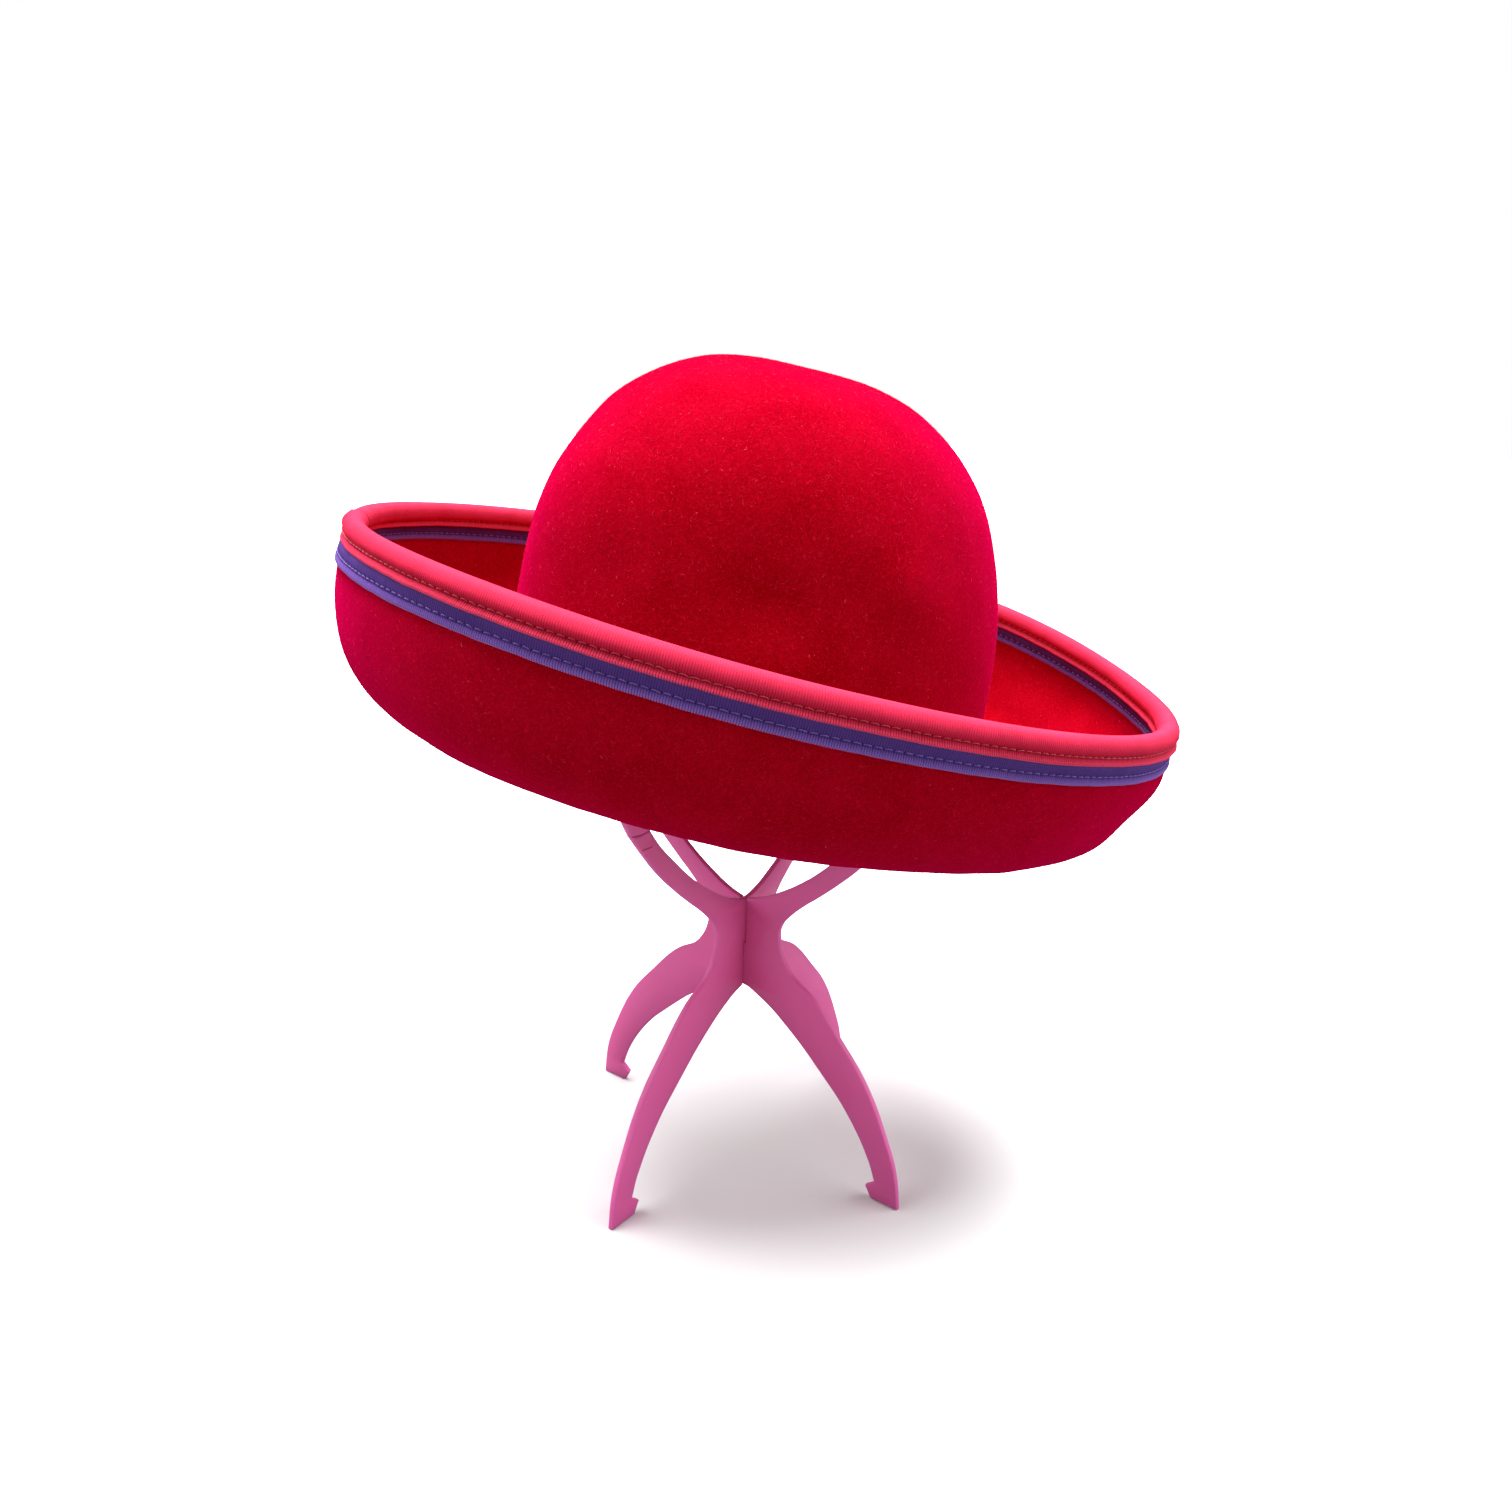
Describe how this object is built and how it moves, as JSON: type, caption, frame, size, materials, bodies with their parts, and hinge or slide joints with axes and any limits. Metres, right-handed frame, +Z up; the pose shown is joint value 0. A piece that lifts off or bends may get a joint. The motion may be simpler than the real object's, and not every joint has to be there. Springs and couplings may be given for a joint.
{
  "type": "felt hat on a wig stand",
  "caption": "Round-crowned felt hat, brim rolled up all round and bound in two ribbons, resting tilted on a plain wig stand of crossed plates.",
  "frame": {"origin": "on the floor, under the middle of the hat's brim", "axes": "+X towards the hat's front, which is its low end; +Y towards the hat's far side; +Z up"},
  "size_m": [0.3488, 0.3033, 0.3575],
  "materials": {
    "red_felt": "brushed wool felt",
    "purple_ribbon": "ribbed grosgrain",
    "coral_ribbon": "ribbed grosgrain",
    "pink_plastic": "moulded, satin"
  },
  "bodies": {
    "root": {"felt_body": "red_felt", "purple_binding": "purple_ribbon", "coral_binding": "coral_ribbon", "stand_legs_a": "pink_plastic", "stand_legs_b": "pink_plastic", "stand_arch_a": "pink_plastic", "stand_arch_b": "pink_plastic"}
  },
  "joints": []
}
